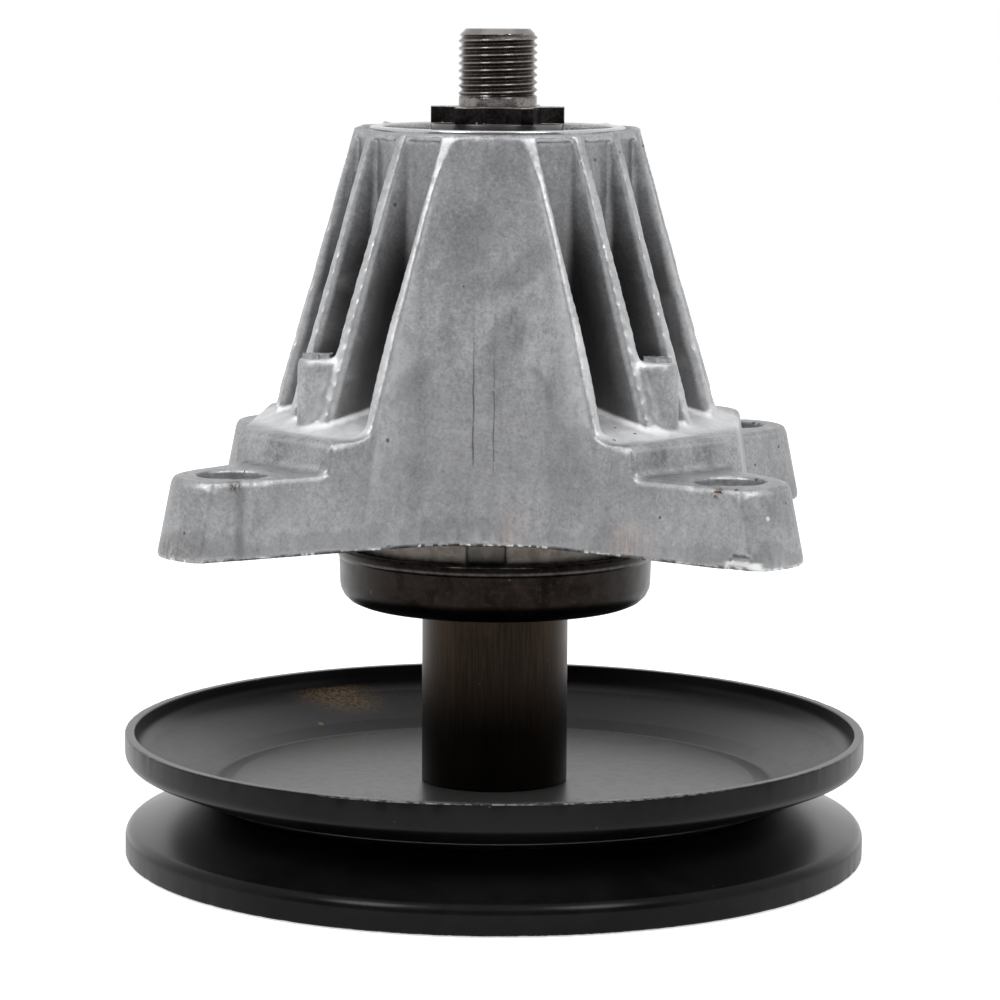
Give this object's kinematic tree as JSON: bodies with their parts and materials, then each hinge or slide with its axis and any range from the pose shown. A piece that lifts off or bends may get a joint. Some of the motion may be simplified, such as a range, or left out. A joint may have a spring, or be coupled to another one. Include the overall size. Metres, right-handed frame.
{
  "type": "mower deck spindle",
  "caption": "Finned cast spindle housing with mounting ears, sealed ball bearings, star-drive blade shaft, dust cap, spacer tube and stamped V-belt pulley for a mower deck.",
  "frame": {"origin": "on the spindle axis, at the lower rim of the pulley that the part stands on", "axes": "+Z along the spindle axis towards the blade thread, -Y towards the front panel of the housing"},
  "size_m": [0.1524, 0.1524, 0.169],
  "materials": {
    "cast_aluminium": "raw die casting, mottled",
    "bearing_steel": "ground and polished",
    "seal_rubber": "matt",
    "cage_polymer": "moulded",
    "shaft_steel": "turned, black star",
    "spacer_steel": "drawn tube, dark oiled",
    "cap_steel": "black, pressed",
    "black_paint": "satin black paint",
    "nut_steel": "plain zinc"
  },
  "bodies": {
    "housing": {"spindle_housing": "cast_aluminium", "blade_bearing_outer_race": "bearing_steel", "blade_bearing_outer_seal": "seal_rubber", "blade_bearing_inner_seal": "seal_rubber", "pulley_bearing_outer_race": "bearing_steel", "pulley_bearing_outer_seal": "seal_rubber", "pulley_bearing_inner_seal": "seal_rubber"},
    "spindle": {"spindle_shaft": "shaft_steel", "blade_bearing_inner_race": "bearing_steel", "pulley_bearing_inner_race": "bearing_steel", "bearing_spacer": "spacer_steel", "dust_cap": "cap_steel", "pulley_spacer": "spacer_steel", "pulley_upper_sheave": "black_paint", "pulley_lower_sheave": "black_paint", "pulley_nut": "nut_steel"},
    "blade_ball_set": {"blade_bearing_balls": "bearing_steel", "blade_bearing_cage": "cage_polymer"},
    "pulley_ball_set": {"pulley_bearing_balls": "bearing_steel", "pulley_bearing_cage": "cage_polymer"}
  },
  "joints": [
    {"name": "spindle_spin", "type": "hinge", "parent": "housing", "child": "spindle", "pos_m": [0, 0, 0.1], "axis": [0, 0, 1], "continuous": true},
    {"name": "blade_balls_roll", "type": "hinge", "parent": "housing", "child": "blade_ball_set", "pos_m": [0, 0, 0.14], "axis": [0, 0, 1], "continuous": true},
    {"name": "pulley_balls_roll", "type": "hinge", "parent": "housing", "child": "pulley_ball_set", "pos_m": [0, 0, 0.0615], "axis": [0, 0, 1], "continuous": true}
  ],
  "couplings": [
    {"joint": "blade_balls_roll", "follows": "spindle_spin", "ratio": 0.38152},
    {"joint": "pulley_balls_roll", "follows": "spindle_spin", "ratio": 0.38152}
  ]
}
